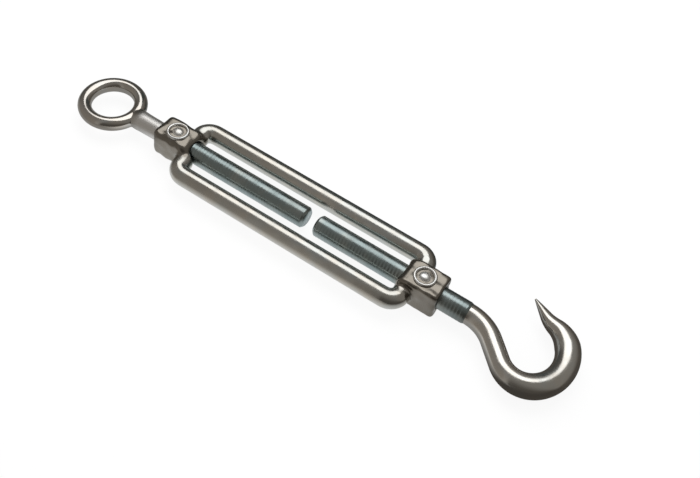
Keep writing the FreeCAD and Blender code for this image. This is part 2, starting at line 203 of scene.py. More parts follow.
class StageSizes(bpy.types.PropertyGroup):
    """The camera, the lights and the cards around the part."""

    target: FloatVectorProperty(name="Target", description="Point that the camera looks at", subtype="XYZ",
                                default=(104.83 * MM, 1.78 * MM, 0), precision=5, unit="LENGTH")
    azimuth: angle("Azimuth", 24.74, "Turn of the camera round the part, from -Y towards +X")
    elevation: angle("Elevation", 52.32, "Height of the camera above the horizon")
    roll: angle("Roll", 10.45, "Turn of the camera about its own view")
    distance: length("Distance", 325 * MM, "From the camera to its target")
    lens: FloatProperty(name="Lens", description="Focal length of the camera, in millimetres", default=48.44)
    floor_width: length("Floor width", 6, "Side of the square floor")
    tent_radius: length("Tent radius", 0.6, "Radius of the curved cards round the part")
    tent_length: length("Tent length", 2.4, "Length of those cards along the thread")
    box_distance: length("Softbox distance", 0.4, "From the softbox to the part")
    box_width: length("Softbox width", 0.48, "Softbox along the thread")
    box_height: length("Softbox height", 0.3, "Softbox across the thread")
    box_radiance: FloatProperty(name="Softbox radiance", description="Brightness of the softbox's face",
                                default=1.7, min=0)


GROUPS = {
    "casting": CastingSizes,
    "eye": EyeSizes,
    "hook": HookSizes,
    "thread": ThreadSizes,
    "finish": Finishes,
    "stage": StageSizes,
}


class TurnbuckleSizes(bpy.types.PropertyGroup):
    """Everything about the turnbuckle that a user would change."""

    casting: PointerProperty(type=CastingSizes)
    eye: PointerProperty(type=EyeSizes)
    hook: PointerProperty(type=HookSizes)
    thread: PointerProperty(type=ThreadSizes)
    finish: PointerProperty(type=Finishes)
    stage: PointerProperty(type=StageSizes)


# ---------------------------------------------------------------------------------------------- making meshes

WELD = 0.001 * MM
ON_PLANE = 0.0001 * MM


def new_object(name, mesh):
    """A linked object at the origin, with its place in its mesh."""
    piece = bpy.data.objects.new(name, mesh)
    bpy.context.scene.collection.objects.link(piece)
    return piece


def shade(mesh, crease=None):
    """Smooth shading, with edges sharper than an angle left crisp."""
    mesh.polygons.foreach_set("use_smooth", [True] * len(mesh.polygons))
    if crease is not None:
        mesh.set_sharp_from_angle(angle=crease)


def finished_mesh(bm, name, crease=None):
    """The bmesh as a mesh with its faces outwards."""
    bmesh.ops.recalc_face_normals(bm, faces=bm.faces[:])
    mesh = bpy.data.meshes.new(name)
    bm.to_mesh(mesh)
    bm.free()
    shade(mesh, crease)
    return mesh


def cad_copy(node):
    """A bmesh of a CAD node's surface, with its loose triangles joined."""
    bm = bmesh.new()
    bm.from_mesh(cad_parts[node].data)
    bmesh.ops.remove_doubles(bm, verts=bm.verts[:], dist=WELD)
    return bm


def join(bm, other):
    """Add another bmesh to a bmesh, and free it."""
    mesh = finished_mesh(other, "joined")
    bm.from_mesh(mesh)
    bpy.data.meshes.remove(mesh)


def baked(piece):
    """Apply a piece's modifiers and leave a plain mesh."""
    graph = bpy.context.evaluated_depsgraph_get()
    mesh = bpy.data.meshes.new_from_object(piece.evaluated_get(graph))
    piece.modifiers.clear()
    old = piece.data
    piece.data = mesh
    mesh.name = old.name
    bpy.data.meshes.remove(old)
    return piece


def add_modifier(piece, kind, **settings):
    """A modifier with its settings."""
    modifier = piece.modifiers.new(kind.lower(), kind)
    for name, value in settings.items():
        setattr(modifier, name, value)
    return modifier


def reskin(piece, grain, softening):
    """Give a piece an even skin and relax its edges, as a casting's or a forging's are."""
    add_modifier(piece, "REMESH", mode="VOXEL", voxel_size=grain, adaptivity=0)
    add_modifier(piece, "SMOOTH", factor=0.5, iterations=softening)
    return baked(piece)


def cut(piece, bm, name):
    """Cut a closed bmesh out of a piece."""
    cutter = new_object(name, finished_mesh(bm, name))
    add_modifier(piece, "BOOLEAN", operation="DIFFERENCE", solver="EXACT", object=cutter)
    baked(piece)
    mesh = cutter.data
    bpy.data.objects.remove(cutter)
    bpy.data.meshes.remove(mesh)


def slice_off(bm, place, outwards):
    """Cut away what lies beyond a plane."""
    everything = bm.verts[:] + bm.edges[:] + bm.faces[:]
    bmesh.ops.bisect_plane(bm, geom=everything, dist=ON_PLANE, plane_co=place, plane_no=outwards,
                           clear_outer=True, clear_inner=False)


def close_holes(bm):
    """Put a face over each hole in a surface."""
    bmesh.ops.holes_fill(bm, edges=[edge for edge in bm.edges if edge.is_boundary], sides=0)


def spin(bm, profile, axis, steps, centre=Vector(), turn=math.tau, drift=Vector(), merge=True):
    """Turn a profile about an axis, and keep the surface that it passes over."""
    bmesh.ops.spin(bm, geom=profile, cent=centre, axis=axis, angle=turn, dvec=drift, steps=steps,
                   use_merge=merge, use_normal_flip=False, use_duplicate=False)


def chain(bm, places):
    """Vertices joined in a row, and their edges."""
    verts = [bm.verts.new(place) for place in places]
    return verts + [bm.edges.new(pair) for pair in zip(verts, verts[1:])]


def lathe(profile, steps):
    """A profile of (place on the thread axis, radius) pairs, spun about that axis."""
    bm = bmesh.new()
    side = X_AXIS.orthogonal().normalized()
    spin(bm, chain(bm, [X_AXIS * along + side * radius for along, radius in profile]), X_AXIS, steps)
    bmesh.ops.remove_doubles(bm, verts=bm.verts[:], dist=WELD)
    return bm


def round_bar(bm, place, radius, segments, steps, centre=Vector()):
    """A round bar bent into a whole ring about an upright axis."""
    upright = Matrix.Translation(place) @ Matrix.Rotation(math.pi / 2, 4, "X")
    bmesh.ops.create_circle(bm, cap_ends=False, segments=segments, radius=radius, matrix=upright)
    spin(bm, bm.verts[:] + bm.edges[:], Z_AXIS, steps, centre)


class Station:
    """One cross-section of a bent bar: its centre, its heading from +X and its radius."""

    def __init__(self, x, y, heading, radius):
        self.x, self.y, self.heading, self.radius = x, y, heading, radius

    def ahead(self, distance):
        """The station a distance further on, in a straight line."""
        x = self.x + distance * math.cos(self.heading)
        y = self.y + distance * math.sin(self.heading)
        return Station(x, y, self.heading, self.radius)

    def bent(self, bend_radius, turn):
        """The station further on round an arc: a positive turn goes left, a negative one right."""
        side = math.copysign(bend_radius, turn)
        heading = self.heading + turn
        x = self.x + side * (math.sin(heading) - math.sin(self.heading))
        y = self.y - side * (math.cos(heading) - math.cos(self.heading))
        return Station(x, y, heading, self.radius)

    def matrix(self):
        """The matrix that takes a unit circle in the XY plane to this cross-section."""
        along = Vector((math.cos(self.heading), math.sin(self.heading), 0))
        across = Vector((-math.sin(self.heading), math.cos(self.heading), 0))
        turned = Matrix((across, Z_AXIS, along)).transposed().to_4x4()
        return Matrix.Translation((self.x, self.y, 0)) @ turned @ Matrix.Scale(self.radius, 4)


def fractions(count):
    """Evenly spaced fractions, from the first step to 1."""
    return [step / count for step in range(1, count + 1)]


def sweep(stations, segments):
    """A circle extruded from station to station and closed at both ends."""
    bm = bmesh.new()
    place = stations[0].matrix()
    bmesh.ops.create_circle(bm, cap_ends=False, segments=segments, radius=1, matrix=place)
    rim = bm.edges[:]
    first_rim = rim
    for station in stations[1:]:
        extruded = bmesh.ops.extrude_edge_only(bm, edges=rim)["geom"]
        verts = [item for item in extruded if isinstance(item, bmesh.types.BMVert)]
        rim = [item for item in extruded if isinstance(item, bmesh.types.BMEdge)]
        bmesh.ops.transform(bm, matrix=station.matrix() @ place.inverted(), verts=verts)
        place = station.matrix()
    bmesh.ops.contextual_create(bm, geom=first_rim)
    bmesh.ops.contextual_create(bm, geom=rim)
    return bm


# ---------------------------------------------------------------------------------------------- the casting

BORE_STEPS = 96
CUT_MARGIN = 1 * MM
TOP_MARGIN = 0.02 * MM
DOME_ROOT = 0.5 * MM
BEAD_STEPS, MARK_STEPS = 24, 72
DOME_STEPS = (48, 32)
CASTING_CREASE = math.radians(42)


def cast_body(sizes):
    """The malleable casting: both bosses and both rails as one soft-edged skin, with the bores cut crisp."""
    bm = cad_copy("frame_body")
    # the marks come off just below the top of the bosses, and return as pieces of their own
    slice_off(bm, (0, 0, sizes.boss_height / 2 - TOP_MARGIN), Z_AXIS)
    close_holes(bm)
    piece = new_object("cast_body", finished_mesh(bm, "cast_body"))
    reskin(piece, sizes.grain, sizes.softening)
    press_hollows(piece, sizes)
    radius, mouth = sizes.bore_radius, sizes.bore_radius + sizes.bore_chamfer
    low, high = BODY_LOW.x, BODY_HIGH.x
    window_low, window_high = low + sizes.boss_length, high - sizes.boss_length
    profile = [
        (low - CUT_MARGIN, 0),
        (low - CUT_MARGIN, mouth + CUT_MARGIN),
        (low + sizes.bore_chamfer, radius),
        (window_low - sizes.bore_chamfer, radius),
        (window_low, mouth),
        (window_high, mouth),
        (window_high + sizes.bore_chamfer, radius),
        (high - sizes.bore_chamfer, radius),
        (high + CUT_MARGIN, mouth + CUT_MARGIN),
        (high + CUT_MARGIN, 0),
    ]
    cut(piece, lathe(profile, BORE_STEPS), "bore_cutter")
    shade(piece.data, CASTING_CREASE)
    return piece


def half_window(sizes):
    """From the middle of the body to the inner face of a boss."""
    return (BODY_HIGH.x - BODY_LOW.x) / 2 - sizes.boss_length


def press_hollows(piece, sizes):
    """Press shallow hollows into the skin of both bosses, as an unmachined casting has."""
    bm = bmesh.new()
    bm.from_mesh(piece.data)
    bm.normal_update()
    window = half_window(sizes)
    for vert in bm.verts:
        along = (abs(vert.co.x - BODY_MIDDLE) - window) / sizes.hollow_size
        across = (sizes.boss_height / 2 + sizes.hollow_size - abs(vert.co.y)) / sizes.hollow_size
        nearness = min(1, along, across)
        if nearness > 0:
            depth = sizes.hollow_depth * (0.5 - 0.5 * noise.noise(vert.co / sizes.hollow_size))
            vert.co -= vert.normal * depth * nearness
    bm.to_mesh(piece.data)
    bm.free()


def boss_mark(sizes, name, x):
    """A plain raised ring with a domed button inside it, on the top of a boss."""
    top = sizes.boss_height / 2
    bm = bmesh.new()
    side = (x + sizes.mark_radius, 0, top + sizes.mark_rise - sizes.mark_bead)
    round_bar(bm, side, sizes.mark_bead, BEAD_STEPS, MARK_STEPS, (x, 0, 0))
    dome = bmesh.new()
    bmesh.ops.create_uvsphere(dome, u_segments=DOME_STEPS[0], v_segments=DOME_STEPS[1],
                              radius=sizes.button_radius)
    squash = Matrix.Diagonal((1, 1, (sizes.button_height + DOME_ROOT) / sizes.button_radius, 1))
    place = Matrix.Translation((x, 0, top - DOME_ROOT))
    bmesh.ops.transform(dome, matrix=place @ squash, verts=dome.verts[:])
    join(bm, dome)
    return new_object(name, finished_mesh(bm, name))


# ---------------------------------------------------------------------------------------------- the eye

RING_STEPS, BAR_STEPS, SHANK_STEPS, NECK_STEPS = 128, 48, 64, 8
EYE_CREASE = math.radians(40)
# a bar reaches this far into the threaded rod that it carries on
ROOT = 2 * MM
# the shank begins inside the ring's bar: places and radii as shares of the bar's radius
SHANK_END, SHANK_SHOULDER = 0.6, (0.3, 0.7)
NECK_START = 0.93


def eye_forging(sizes):
    """The ring and its plain shank: one bar bent round, with a seam where its end meets the shank."""
    bm = bmesh.new()
    bar = sizes.bar_radius
    round_bar(bm, (sizes.ring_radius, 0, 0), bar, BAR_STEPS, RING_STEPS)
    for vert in bm.verts:
        reach = math.hypot(vert.co.x, vert.co.y)
        if reach < sizes.land_radius:
            vert.co.x *= sizes.land_radius / reach
            vert.co.y *= sizes.land_radius / reach
    neck_low = bar * NECK_START
    neck = [(sizes.ring_radius + sizes.neck_length * fraction,
             neck_low + (sizes.shank_radius - neck_low) * math.sin(fraction * math.pi / 2))
            for fraction in fractions(NECK_STEPS)]
    shoulder_place, shoulder_radius = SHANK_SHOULDER
    shank = [
        (sizes.ring_radius - bar * SHANK_END, 0),
        (sizes.ring_radius - bar * shoulder_place, bar * shoulder_radius),
        *neck,
        (sizes.thread_start + ROOT, sizes.shank_radius),
        (sizes.thread_start + ROOT, 0),
    ]
    rod = lathe(shank, SHANK_STEPS)
    flare_length = sizes.neck_length + bar
    flare_end = sizes.ring_radius + flare_length
    for vert in rod.verts:
        nearness = max(0, (flare_end - vert.co.x) / flare_length)
        vert.co.y *= 1 + sizes.neck_flare * min(1, nearness) ** 2
    join(bm, rod)
    piece = new_object("eye_forging", finished_mesh(bm, "eye_forging"))
    reskin(piece, sizes.grain, sizes.softening)

    # the seam is a thin blade, let into the outside of the ring beside the shank
    blade = bmesh.new()
    size = Matrix.Diagonal((sizes.butt_depth * 2, sizes.butt_gap, bar * 4, 1))
    place = Matrix.Rotation(sizes.butt_angle, 4, "Z") @ Matrix.Translation((sizes.ring_radius + bar, 0, 0))
    lean = Matrix.Rotation(sizes.butt_lean, 4, "Z")
    bmesh.ops.create_cube(blade, size=1, matrix=place @ lean @ size)
    cut(piece, blade, "butt_cutter")
    shade(piece.data, EYE_CREASE)
    return piece


# ---------------------------------------------------------------------------------------------- the hook

HOOK_STEPS = 56
BEND_STEPS, STRAIGHT_STEPS, BOWL_STEPS, CLOSING_STEPS, FLARE_STEPS, POINT_STEPS = 14, 3, 44, 10, 8, 14
HOOK_CREASE = math.radians(50)


def hook_stations(sizes):
    """The hook's bar, section by section, about the centre of its bowl."""
    def on_bowl(turn):
        heading = math.atan2(sizes.bowl_spread * math.cos(turn), -sizes.bowl_reach * math.sin(turn))
        x, y = sizes.bowl_reach * math.cos(turn), sizes.bowl_spread * math.sin(turn)
        return Station(x, y, heading, sizes.neck_radius)

    entry = on_bowl(-sizes.bowl_start)
    drop = sizes.bend_radius * (1 - math.cos(entry.heading))
    straight = (-entry.y - drop) / math.sin(-entry.heading)
    start_x = entry.x - sizes.bend_radius * math.sin(-entry.heading) - straight * math.cos(entry.heading)
    start = Station(start_x, 0, 0, sizes.neck_radius)
    bar = [start]
    bar += [start.bent(sizes.bend_radius, entry.heading * fraction) for fraction in fractions(BEND_STEPS)]
    bar += [bar[-1].ahead(straight * fraction) for fraction in fractions(STRAIGHT_STEPS)]
    sweep_angle = sizes.taper_start + sizes.bowl_start
    swelling = []
    for fraction in fractions(BOWL_STEPS):
        station = on_bowl(-sizes.bowl_start + sweep_angle * fraction)
        swell = math.sin(min(fraction * 2, 1) * math.pi / 2)
        station.radius += (sizes.bar_radius - sizes.neck_radius) * swell
        swelling.append(station)
    tapered = [on_bowl(sizes.taper_start + (sizes.bowl_finish - sizes.taper_start) * fraction)
               for fraction in fractions(CLOSING_STEPS)]
    bowl_end = tapered[-1]
    tapered += [bowl_end.bent(sizes.flare_radius, -sizes.flare_turn * fraction)
                for fraction in fractions(FLARE_STEPS)]
    flare_end = tapered[-1]
    tapered += [flare_end.ahead(sizes.point_length * fraction) for fraction in fractions(POINT_STEPS)]

    travelled = [0]
    for before, after in zip([swelling[-1]] + tapered, tapered):
        travelled.append(travelled[-1] + math.hypot(after.x - before.x, after.y - before.y))
    for station, distance in zip(tapered, travelled[1:]):
        left = 1 - (distance / travelled[-1]) ** sizes.taper_power
        station.radius = sizes.point_radius + (sizes.bar_radius - sizes.point_radius) * left
    return bar + swelling + tapered


def bowl_centre(stations):
    """Where the bowl's centre lies on the thread axis, from the hook's farthest reach."""
    farthest = max(station.x + station.radius * abs(math.sin(station.heading)) for station in stations)
    return HOOK_HIGH.x - farthest


def hook_forging(sizes):
    """The hook as one round bar that leaves the thread axis, goes round its bowl and tapers to a point."""
    stations = hook_stations(sizes)
    centre = bowl_centre(stations)
    root = Station(stations[0].x - ROOT, 0, 0, stations[0].radius)
    bm = sweep([root] + stations, HOOK_STEPS)
    bmesh.ops.translate(bm, vec=(centre, 0, 0), verts=bm.verts[:])
    return new_object("hook_forging", finished_mesh(bm, "hook_forging", HOOK_CREASE))


# ---------------------------------------------------------------------------------------------- the threads

THREAD_PROFILE = 8
THREAD_WELD = 0.002 * MM
THREAD_CREASE = math.radians(60)
# turns made before a rod's low end, and past both of its ends, before it is cut to length
TURNS_BEFORE, TURNS_SPARE = 2, 4


def threaded_rod(sizes, name, free, neck, neck_radius):
    """A rod with a helical thread, from its chamfered free end to the neck where the thread runs out."""
    low, high = sorted((free, neck))
    bm = bmesh.new()
    groove = []
    for step in range(THREAD_PROFILE + 1):
        fraction = step / THREAD_PROFILE
        sunk = 0.5 - 0.5 * math.cos(math.tau * fraction)
        along = low + sizes.pitch * (fraction - TURNS_BEFORE)
        groove.append((along, 0, sizes.crest_radius - sizes.depth * sunk))
    spin(bm, chain(bm, groove), X_AXIS, sizes.steps, drift=(sizes.pitch / sizes.steps, 0, 0), merge=False)
    one_turn = bm.verts[:] + bm.edges[:] + bm.faces[:]
    for turn in range(1, math.ceil((high - low) / sizes.pitch) + TURNS_SPARE):
        copy = bmesh.ops.duplicate(bm, geom=one_turn)["geom"]
        copied = [item for item in copy if isinstance(item, bmesh.types.BMVert)]
        bmesh.ops.translate(bm, vec=(sizes.pitch * turn, 0, 0), verts=copied)
    bmesh.ops.remove_doubles(bm, verts=bm.verts[:], dist=THREAD_WELD)
    slice_off(bm, (low, 0, 0), -X_AXIS)
    slice_off(bm, (high, 0, 0), X_AXIS)
    for vert in bm.verts:
        chamfer = sizes.crest_radius - sizes.chamfer + abs(vert.co.x - free)
        runout = neck_radius + abs(vert.co.x - neck) * sizes.runout
        limit = min(sizes.crest_radius, chamfer, runout)
        radius = math.hypot(vert.co.y, vert.co.z)
        if radius > limit:
            vert.co.y *= limit / radius
            vert.co.z *= limit / radius
    close_holes(bm)
    return new_object(name, finished_mesh(bm, name, THREAD_CREASE))


# ---------------------------------------------------------------------------------------------- the finishes

NOISE_ROUGHNESS = 0.55


class Nodes:
    """A node tree, with short calls for the nodes that the finishes and the stage use."""

    def __init__(self, owner):
        owner.use_nodes = True
        self.owner = owner
        self.tree = owner.node_tree
        self.place = self.add("ShaderNodeTexCoord").outputs["Object"]

    def add(self, kind, **settings):
        """A node with its settings."""
        node = self.tree.nodes.new(kind)
        for name, value in settings.items():
            setattr(node, name, value)
        return node

    def link(self, source, target):
        """A link between two sockets."""
        self.tree.links.new(source, target)

    def feed(self, value, target):
        """Link a socket to another one, or set it to a plain value."""
        if isinstance(value, bpy.types.NodeSocket):
            self.link(value, target)
        else:
            target.default_value = value

    def along(self, axis):
        """The place along an axis."""
        node = self.add("ShaderNodeSeparateXYZ")
        self.link(self.place, node.inputs["Vector"])
        return node.outputs[axis]

    def math(self, operation, *values):
        """The result of an operation on sockets and numbers."""
        node = self.add("ShaderNodeMath", operation=operation)
        for value, target in zip(values, node.inputs):
            self.feed(value, target)
        return node.outputs[0]

    def noise(self, scale, detail=2, stretch=(1, 1, 1)):
        """Noise of a size in metres, over the piece's own place."""
        mapping = self.add("ShaderNodeMapping")
        mapping.inputs["Scale"].default_value = stretch
        self.link(self.place, mapping.inputs["Vector"])
        node = self.add("ShaderNodeTexNoise")
        self.link(mapping.outputs["Vector"], node.inputs["Vector"])
        node.inputs["Scale"].default_value = 1 / scale
        node.inputs["Detail"].default_value = detail
        node.inputs["Roughness"].default_value = NOISE_ROUGHNESS
        return node.outputs["Fac"]

    def spread(self, source, low, high, new_low=0, new_high=1):
        """A value moved from one range to another, and held there."""
        node = self.add("ShaderNodeMapRange")
        self.link(source, node.inputs["Value"])
        ends = {"From Min": low, "From Max": high, "To Min": new_low, "To Max": new_high}
        for socket, value in ends.items():
            node.inputs[socket].default_value = value
        return node.outputs["Result"]

    def blend(self, factor, first, second):
        """A blend of two values, each a socket or a plain number."""
        node = self.add("ShaderNodeMix", data_type="FLOAT")
        for value, target in ((factor, "Factor"), (first, "A"), (second, "B")):
            self.feed(value, node.inputs[target])
        return node.outputs["Result"]

    def mix(self, factor, first, second):
        """A mix of two colours, each a socket or a plain colour."""
        node = self.add("ShaderNodeMix", data_type="RGBA")
        self.link(factor, node.inputs["Factor"])
        for value, target in ((first, node.inputs[6]), (second, node.inputs[7])):
            self.feed(value if isinstance(value, bpy.types.NodeSocket) else (*value, 1), target)
        return node.outputs[2]

    def bump(self, height, strength, distance, below=None):
        """A bump from a height, on top of another one."""
        node = self.add("ShaderNodeBump")
        node.inputs["Strength"].default_value = strength
        node.inputs["Distance"].default_value = distance
        self.link(height, node.inputs["Height"])
        if below is not None:
            self.link(below, node.inputs["Normal"])
        return node.outputs["Normal"]


class Surface(Nodes):
    """A material's nodes, with the tint and the gloss that its shader takes in the end."""

    def __init__(self, name):
        super().__init__(bpy.data.materials.new(name))
        self.shader = self.tree.nodes["Principled BSDF"]
        self.output = self.tree.nodes["Material Output"]
        self.tint = self.gloss = None

    def finished(self):
        """The material, with its tint and its gloss joined to its shader."""
        self.link(self.tint, self.shader.inputs["Base Color"])
        self.link(self.gloss, self.shader.inputs["Roughness"])
        return self.owner


# the breadth of each patch in the plating, and the range of noise over which it sets in
WARM_PATCH, WARM_RANGE = 7 * MM, (0.46, 0.72)
COOL_PATCH, COOL_RANGE, COOL_STRETCH = 11 * MM, (0.5, 0.75), (1, 1.4, 0.8)
DULL_PATCH, DULL_RANGE = 4 * MM, (0.35, 0.7)
GLOSSIEST, DULLEST = 0.8, 1.35
SOFT_HEIGHT, FINE_HEIGHT = 0.1 * MM, 0.01 * MM
FINE_SHARE, FINE_RELIEF = 6, 0.2
STREAK_RANGE = (0.3, 0.7)
# how pointed an edge or a hollow is, from where the rubbing or the painted shade sets in, and how much of it
# shows
EDGE_RANGE, EDGE_WEAR = (0.54, 0.64), 0.55
HOLLOW_RANGE, HOLLOW_SHADE = (0.40, 0.47), 0.45
ZONE_EDGE = 1.2 * MM
SHANK_FADE = 2.5 * MM


def zinc(name, base, finish, gloss, grain, relief, film=0.35):
    """Bright zinc plating: a metal with a faint straw and blue film and a soft relief."""
    nodes = Surface(name)
    warm = nodes.spread(nodes.noise(WARM_PATCH), *WARM_RANGE, 0, film)
    cool = nodes.spread(nodes.noise(COOL_PATCH, stretch=COOL_STRETCH), *COOL_RANGE, 0, film)
    nodes.tint = nodes.mix(cool, nodes.mix(warm, base, finish.warm), finish.cool)
    nodes.gloss = nodes.spread(nodes.noise(DULL_PATCH), *DULL_RANGE, gloss * GLOSSIEST, gloss * DULLEST)
    soft = nodes.bump(nodes.noise(grain), relief, SOFT_HEIGHT)
    fine = nodes.bump(nodes.noise(grain / FINE_SHARE), relief * FINE_RELIEF, FINE_HEIGHT, below=soft)
    nodes.link(fine, nodes.shader.inputs["Normal"])
    nodes.shader.inputs["Metallic"].default_value = 1
    return nodes


def change_where(nodes, zone, tint, gloss, swing, streaks):
    """Give the part of a surface that a mask covers another tint and a gloss that swings with streaks."""
    nodes.tint = nodes.mix(zone, nodes.tint, tint)
    streaked = nodes.spread(streaks, *STREAK_RANGE, gloss * (1 - swing), gloss * (1 + swing))
    nodes.gloss = nodes.blend(zone, nodes.gloss, streaked)


def rubbed(nodes, finish):
    """Rub the edges bright and paint shade into the hollows."""
    edges = nodes.add("ShaderNodeNewGeometry").outputs["Pointiness"]
    tinted = nodes.mix(nodes.spread(edges, *EDGE_RANGE, 0, EDGE_WEAR), nodes.tint, finish.worn)
    # painted shade: the hollows take the darker hollow colour
    nodes.tint = nodes.mix(nodes.spread(edges, *HOLLOW_RANGE, HOLLOW_SHADE, 0), tinted, finish.hollow)


def boss_shade_zone(nodes, sizes):
    """A soft mask over both bosses, between the rails, where shade is painted."""
    from_middle = nodes.math("ABSOLUTE", nodes.math("SUBTRACT", nodes.along("X"), BODY_MIDDLE))
    window = half_window(sizes)
    past_window = nodes.spread(from_middle, window - ZONE_EDGE, window)
    half_boss = sizes.boss_height / 2
    from_axis = nodes.math("ABSOLUTE", nodes.along("Y"))
    between_rails = nodes.spread(from_axis, half_boss, half_boss + ZONE_EDGE, 1, 0)
    return nodes.math("MULTIPLY", past_window, between_rails)


def cast_zinc(finish, sizes):
    """The plated casting: smooth along the rails, unpolished on the bosses, with painted shade darkening
    their skin.
    """
    nodes = zinc("cast_zinc", finish.casting, finish, finish.casting_gloss, grain=2.2 * MM, relief=0.09)
    # painted shade: the bosses take the darker boss skin colour
    change_where(nodes, boss_shade_zone(nodes, sizes), finish.skin, finish.skin_gloss, swing=0.15,
                 streaks=nodes.noise(2.5 * MM, detail=4))
    rubbed(nodes, finish)
    return nodes.finished()


def mark_zinc(finish):
    """The plating on the raised marks, rubbed bright."""
    return zinc("mark_zinc", finish.worn, finish, finish.mark_gloss, grain=2.2 * MM, relief=0.1).finished()


def forged_zinc(finish):
    """The plated forging of the hook, smooth from the die."""
    nodes = zinc("forged_zinc", finish.forging, finish, finish.forging_gloss, grain=4 * MM, relief=0.06)
    return nodes.finished()


def eye_zinc(finish, sizes):
    """The plated eye, glossy round the ring and duller along the drawn shank."""
    nodes = zinc("eye_zinc", finish.ring, finish, finish.ring_gloss, grain=4 * MM, relief=0.1)
    begin = sizes.ring_radius + sizes.bar_radius * SHANK_END
    shank = nodes.spread(nodes.along("X"), begin, begin + SHANK_FADE)
    change_where(nodes, shank, finish.worn, finish.shank_gloss, swing=0.1,
                 streaks=nodes.noise(1.2 * MM, detail=3, stretch=(0.06, 1, 1)))
    rubbed(nodes, finish)
    return nodes.finished()


def shaded_thread_zinc(finish):
    """The plated threads: darker than the bar as painted shade of the threads, and bluer as the plating is.
    """
    return zinc("shaded_thread_zinc", finish.thread, finish, finish.thread_gloss, grain=1.4 * MM, relief=0.03,
                film=0.2).finished()


# ---------------------------------------------------------------------------------------------- the stage

WHITE = (1, 1, 1)
WARM_GREY = (1, 0.95, 0.88)
PALE_BLUE = (0.93, 0.98, 1)
COOL_GREY = (0.86, 1, 0.98)
BROWN = (1, 0.9, 0.79)
PAPER_GREY, PAPER_ROUGHNESS = 0.8, 0.9
SHADOW_GREY, PAPER_GLOW = 0.16, 0.9
ROOM_LEVEL = 0.45
SOFTBOX_INSET = 40 * MM
SOFTBOX_DIRECTION = Vector((-0.33, 0.38, 0.86)).normalized()
SENSOR_WIDTH = 36
NEAREST_SEEN = 10 * MM


def seen_directly(nodes):
    """Whether a ray comes from the camera, from a gloss or through glass."""
    path = nodes.add("ShaderNodeLightPath")
    either = nodes.math("MAXIMUM", path.outputs["Is Camera Ray"], path.outputs["Is Glossy Ray"])
    return nodes.math("MAXIMUM", either, path.outputs["Is Transmission Ray"])


def floor_paper():
    """Pale paper that reads as white, and still takes a faint shadow."""
    nodes = Surface("floor_paper")
    nodes.shader.inputs["Base Color"].default_value = (PAPER_GREY, PAPER_GREY, PAPER_GREY, 1)
    nodes.shader.inputs["Roughness"].default_value = PAPER_ROUGHNESS
    nodes.shader.inputs["Specular IOR Level"].default_value = 0
    paper = nodes.add("ShaderNodeBsdfDiffuse")
    paper.inputs["Color"].default_value = (SHADOW_GREY, SHADOW_GREY, SHADOW_GREY, 1)
    glow = nodes.add("ShaderNodeEmission")
    glow.inputs["Strength"].default_value = PAPER_GLOW
    glow.inputs["Color"].default_value = (*WHITE, 1)
    both = nodes.add("ShaderNodeAddShader")
    nodes.link(paper.outputs[0], both.inputs[0])
    nodes.link(glow.outputs[0], both.inputs[1])
    choice = nodes.add("ShaderNodeMixShader")
    nodes.link(seen_directly(nodes), choice.inputs[0])
    nodes.link(nodes.shader.outputs[0], choice.inputs[1])
    nodes.link(both.outputs[0], choice.inputs[2])
    nodes.link(choice.outputs[0], nodes.output.inputs["Surface"])
    return nodes.owner


def toned(nodes, place, unit, tones):
    """A colour that changes along a value.  Each tone is (place in a unit, brightness, tint)."""
    ramp = nodes.add("ShaderNodeValToRGB")
    first, last = tones[0][0], tones[-1][0]
    stops = ramp.color_ramp.elements
    while len(stops) < len(tones):
        stops.new(1)
    for stop, (where, brightness, tint) in zip(stops, tones):
        stop.position = (where - first) / (last - first)
        stop.color = (*(brightness * part for part in tint), 1)
    nodes.link(nodes.spread(place, first * unit, last * unit), ramp.inputs[0])
    return ramp.outputs["Color"]


def card_material(name, measure, unit, tones, ends):
    """A glowing card, a painted reflection, whose brightness changes along a measure, and by the hook and the
    eye.

    Each of its ends is (first place on the thread axis in mm, last place, how much of it, its own tones).
    """
    nodes = Surface(name)
    place = measure(nodes)
    tone = toned(nodes, place, unit, tones)
    for first, last, most, end_tones in ends:
        there = nodes.spread(nodes.along("X"), first * MM, last * MM, 0, most)
        tone = nodes.mix(there, tone, toned(nodes, place, unit, end_tones))
    shine = nodes.add("ShaderNodeEmission")
    nodes.link(tone, shine.inputs["Color"])
    nodes.link(shine.outputs[0], nodes.output.inputs["Surface"])
    return nodes.owner


def across_the_floor(nodes):
    """The place across the thread axis, towards +Y."""
    return nodes.along("Y")


def round_the_axis(nodes):
    """The angle round the thread axis, from the -Y horizon over the top."""
    return nodes.math("ARCTAN2", nodes.along("Z"), nodes.math("MULTIPLY", nodes.along("Y"), -1))


# The tent's tones, in degrees round the axis: a painted reflection, grey over the near side and black beyond.
# It is far away, so that what the hook reflects of it lies towards the eye.
DEGREE = math.radians(1)
TENT_TONES = (
    (-10, 0.40, WARM_GREY),
    (40, 0.33, WARM_GREY),
    (80, 0.26, WHITE),
    (120, 0.17, WHITE),
    (142, 0.07, COOL_GREY),
    (184, 0.08, COOL_GREY),
)
# painted reflection: where the hook reflects the tent it is dark and brown
HOOK_TENT_TONES = (
    (-10, 0.08, BROWN),
    (30, 0.1, BROWN),
    (72, 0.24, WARM_GREY),
    (140, 0.26, WARM_GREY),
    (165, 0.15, BROWN),
    (184, 0.06, BROWN),
)
# painted reflection: where the eye reflects the tent it is a dim brown
EYE_TENT_TONES = (
    (-10, 0.24, BROWN),
    (90, 0.24, BROWN),
    (184, 0.06, WHITE),
)
TENT_ENDS = ((-35, 35, 1, HOOK_TENT_TONES), (-130, -170, 0.7, EYE_TENT_TONES))
TENT_STEPS = 48
